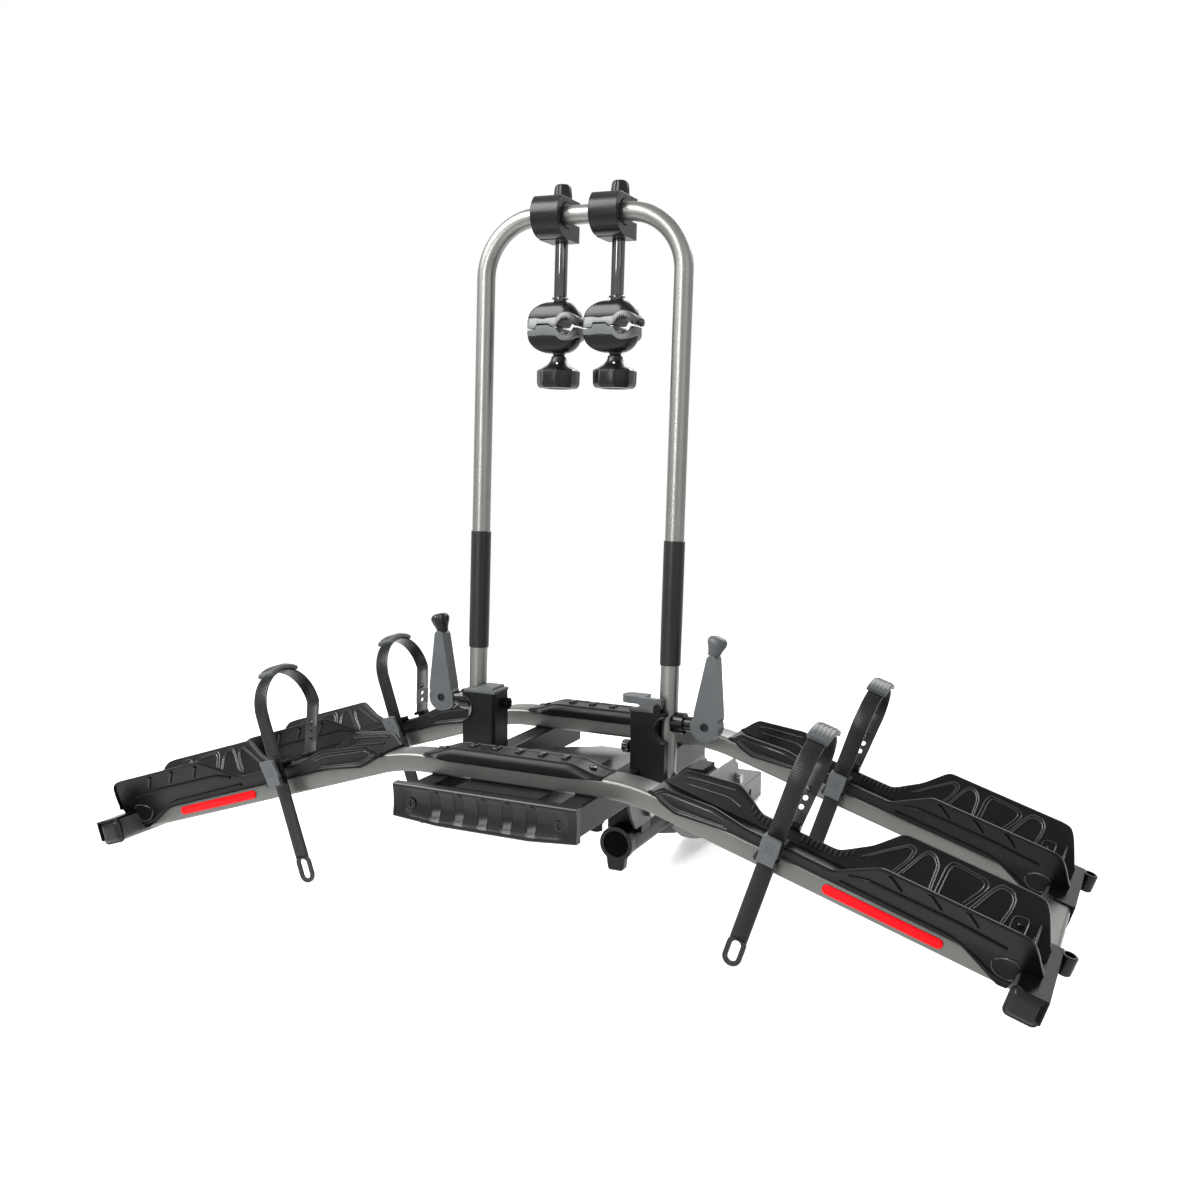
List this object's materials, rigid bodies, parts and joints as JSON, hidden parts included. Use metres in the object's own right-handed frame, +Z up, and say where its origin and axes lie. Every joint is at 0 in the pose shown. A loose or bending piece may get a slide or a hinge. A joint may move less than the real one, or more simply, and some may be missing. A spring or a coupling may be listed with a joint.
{
  "type": "platform hitch bike rack",
  "caption": "Platform hitch bike rack with drooping wheel trays, ratchet wheel straps, a folding hoop with clamping arms, and a tilting beam on a square receiver shank.",
  "frame": {"origin": "centre of the hitch pin bore, on the axis of the square shank", "axes": "+X across the vehicle to the right when seen from behind the rack, +Y toward the vehicle, +Z up"},
  "size_m": [1.3706, 1.05, 1.0574],
  "materials": {
    "frame_black": "satin black powder coat",
    "hitch_grey": "satin grey coat",
    "rail_silver": "satin metallic titanium-silver coat",
    "molded_black": "black moulded plastic with a fine grain",
    "steel": "polished plated steel",
    "jaw_grey": "grey moulded plastic",
    "lever_grey": "mid-grey moulded plastic",
    "strap_rubber": "black ribbed ratchet strap",
    "reflector_red": "bright red reflective strip",
    "foot_rubber": "black rubber"
  },
  "bodies": {
    "hitch_mount": {"shank": "hitch_grey", "clevis_left": "hitch_grey", "clevis_right": "hitch_grey", "fold_bolt": "steel"},
    "lock_pin": {"fold_pin": "steel"},
    "beam_arm": {"beam": "frame_black", "beam_cap": "molded_black"},
    "platform": {"base_frame": "frame_black", "neck": "frame_black", "rail_front": "rail_silver", "rail_rear": "rail_silver", "end_bars": "rail_silver", "end_caps": "molded_black", "front_plate": "molded_black", "plate_screws": "steel", "cover_front": "molded_black", "cover_rear": "molded_black", "tray_front_right": "molded_black", "tray_front_left": "molded_black", "tray_rear_right": "molded_black", "tray_rear_left": "molded_black", "post_left": "frame_black", "post_right": "frame_black", "post_cap": "lever_grey", "reflectors": "reflector_red", "feet": "foot_rubber", "pivot_bolts": "steel"},
    "handle": {"release_handle": "lever_grey"},
    "fluted_knob": {"post_knob": "molded_black"},
    "hoop_frame": {"hoop": "rail_silver", "sleeves": "molded_black", "cam_bolts": "steel"},
    "lever_left": {"cam_lever_left": "lever_grey", "cam_knob_left": "molded_black"},
    "lever_right": {"cam_lever_right": "lever_grey", "cam_knob_right": "lever_grey"},
    "arm_liner_left": {"liner_left": "molded_black"},
    "arm_collar_left": {"collar_left": "molded_black"},
    "arm_rod_left": {"rod_left": "steel", "shell_left": "molded_black", "upper_jaw_left": "jaw_grey"},
    "arm_top_knob_left": {"top_knob_left": "molded_black"},
    "arm_jaw_left": {"lower_jaw_left": "molded_black"},
    "arm_knob_left": {"lower_knob_left": "molded_black"},
    "arm_liner_right": {"liner_right": "molded_black"},
    "arm_collar_right": {"collar_right": "molded_black"},
    "arm_rod_right": {"rod_right": "steel", "shell_right": "molded_black", "upper_jaw_right": "jaw_grey"},
    "arm_top_knob_right": {"top_knob_right": "molded_black"},
    "arm_jaw_right": {"lower_jaw_right": "molded_black"},
    "arm_knob_right": {"lower_knob_right": "molded_black"},
    "strap_body_front_right": {"strap_front_right": "strap_rubber"},
    "buckle_body_front_right": {"buckle_front_right": "lever_grey"},
    "strap_body_front_left": {"strap_front_left": "strap_rubber"},
    "buckle_body_front_left": {"buckle_front_left": "lever_grey"},
    "strap_body_rear_right": {"strap_rear_right": "strap_rubber"},
    "buckle_body_rear_right": {"buckle_rear_right": "lever_grey"},
    "strap_body_rear_left": {"strap_rear_left": "strap_rubber"},
    "buckle_body_rear_left": {"buckle_rear_left": "lever_grey"}
  },
  "joints": [
    {"name": "beam_fold", "type": "hinge", "parent": "hitch_mount", "child": "beam_arm", "pos_m": [0, -0.195, 0.07], "axis": [-1, 0, 0], "range_deg": [0, 90]},
    {"name": "lock_pin_pull", "type": "slide", "parent": "hitch_mount", "child": "lock_pin", "axis": [1, 0, 0], "range_m": [0, 0.022], "stiffness_N_per_m": 500, "springref_m": -0.01},
    {"name": "platform_tilt", "type": "hinge", "parent": "beam_arm", "child": "platform", "pos_m": [0, -0.525, 0.115], "axis": [1, 0, 0], "range_deg": [0, 30]},
    {"name": "hoop_fold", "type": "hinge", "parent": "platform", "child": "hoop_frame", "pos_m": [0, -0.74, 0.235], "axis": [-1, 0, 0], "range_deg": [0, 58]},
    {"name": "handle_lift", "type": "hinge", "parent": "platform", "child": "handle", "pos_m": [0.143, -0.76, 0.337], "axis": [0, 1, 0], "range_deg": [0, 35], "stiffness_Nm_per_rad": 0.5, "springref_deg": -17.19},
    {"name": "fluted_knob_turn", "type": "hinge", "parent": "platform", "child": "fluted_knob", "pos_m": [0.095, -0.748, 0.276], "axis": [-1, 0, 0], "continuous": true},
    {"name": "cam_lever_left_open", "type": "hinge", "parent": "hoop_frame", "child": "lever_left", "pos_m": [-0.203, -0.73619, 0.31291], "axis": [0, -0.9988, 0.0488], "range_deg": [0, 100]},
    {"name": "cam_lever_right_open", "type": "hinge", "parent": "hoop_frame", "child": "lever_right", "pos_m": [0.203, -0.73619, 0.31291], "axis": [0, 0.9988, -0.0488], "range_deg": [0, 100]},
    {"name": "arm_left_slide", "type": "slide", "parent": "hoop_frame", "child": "arm_liner_left", "axis": [1, 0, 0], "range_m": [-0.002, 0.002]},
    {"name": "arm_left_swing", "type": "hinge", "parent": "arm_liner_left", "child": "arm_collar_left", "pos_m": [-0.045, -0.70327, 0.9861], "axis": [1, 0, 0], "range_deg": [-100, 100]},
    {"name": "arm_left_twist", "type": "hinge", "parent": "arm_collar_left", "child": "arm_rod_left", "pos_m": [-0.045, -0.6763, 0.98478], "axis": [0, 0.0488, 0.9988], "range_deg": [-90, 90]},
    {"name": "top_knob_left_turn", "type": "hinge", "parent": "arm_collar_left", "child": "arm_top_knob_left", "pos_m": [-0.045, -0.67468, 1.01774], "axis": [0, 0.0488, 0.9988], "continuous": true},
    {"name": "jaw_left_open", "type": "slide", "parent": "arm_rod_left", "child": "arm_jaw_left", "axis": [0, -0.0488, -0.9988], "range_m": [0, 0.012]},
    {"name": "clamp_knob_left_turn", "type": "hinge", "parent": "arm_jaw_left", "child": "arm_knob_left", "pos_m": [-0.045, -0.68641, 0.77803], "axis": [0, 0.0488, 0.9988], "range_deg": [0, 1082]},
    {"name": "arm_right_slide", "type": "slide", "parent": "hoop_frame", "child": "arm_liner_right", "axis": [1, 0, 0], "range_m": [-0.002, 0.006]},
    {"name": "arm_right_swing", "type": "hinge", "parent": "arm_liner_right", "child": "arm_collar_right", "pos_m": [0.041, -0.70327, 0.9861], "axis": [1, 0, 0], "range_deg": [-100, 100]},
    {"name": "arm_right_twist", "type": "hinge", "parent": "arm_collar_right", "child": "arm_rod_right", "pos_m": [0.041, -0.6763, 0.98478], "axis": [0, 0.0488, 0.9988], "range_deg": [-90, 90]},
    {"name": "top_knob_right_turn", "type": "hinge", "parent": "arm_collar_right", "child": "arm_top_knob_right", "pos_m": [0.041, -0.67468, 1.01774], "axis": [0, 0.0488, 0.9988], "continuous": true},
    {"name": "jaw_right_open", "type": "slide", "parent": "arm_rod_right", "child": "arm_jaw_right", "axis": [0, -0.0488, -0.9988], "range_m": [0, 0.012]},
    {"name": "clamp_knob_right_turn", "type": "hinge", "parent": "arm_jaw_right", "child": "arm_knob_right", "pos_m": [0.041, -0.68641, 0.77803], "axis": [0, 0.0488, 0.9988], "range_deg": [0, 1082]},
    {"name": "strap_front_right_slide", "type": "slide", "parent": "platform", "child": "strap_body_front_right", "axis": [0.9511, 0, -0.309], "range_m": [-0.026, 0.05]},
    {"name": "buckle_front_right_open", "type": "hinge", "parent": "strap_body_front_right", "child": "buckle_body_front_right", "pos_m": [0.35121, -0.938, 0.21473], "axis": [0.9511, 0, -0.309], "range_deg": [0, 70]},
    {"name": "strap_front_left_slide", "type": "slide", "parent": "platform", "child": "strap_body_front_left", "axis": [-0.9511, 0, -0.309], "range_m": [-0.026, 0.05]},
    {"name": "buckle_front_left_open", "type": "hinge", "parent": "strap_body_front_left", "child": "buckle_body_front_left", "pos_m": [-0.35121, -0.938, 0.21473], "axis": [0.9511, 0, 0.309], "range_deg": [0, 70]},
    {"name": "strap_rear_right_slide", "type": "slide", "parent": "platform", "child": "strap_body_rear_right", "axis": [0.9511, 0, -0.309], "range_m": [-0.026, 0.05]},
    {"name": "buckle_rear_right_open", "type": "hinge", "parent": "strap_body_rear_right", "child": "buckle_body_rear_right", "pos_m": [0.35121, -0.646, 0.21473], "axis": [0.9511, 0, -0.309], "range_deg": [0, 70]},
    {"name": "strap_rear_left_slide", "type": "slide", "parent": "platform", "child": "strap_body_rear_left", "axis": [-0.9511, 0, -0.309], "range_m": [-0.026, 0.05]},
    {"name": "buckle_rear_left_open", "type": "hinge", "parent": "strap_body_rear_left", "child": "buckle_body_rear_left", "pos_m": [-0.35121, -0.646, 0.21473], "axis": [0.9511, 0, 0.309], "range_deg": [0, 70]}
  ],
  "couplings": [
    {"joint": "clamp_knob_left_turn", "follows": "jaw_left_open", "rad_per_m": 1570.8},
    {"joint": "clamp_knob_right_turn", "follows": "jaw_right_open", "rad_per_m": 1570.8}
  ]
}
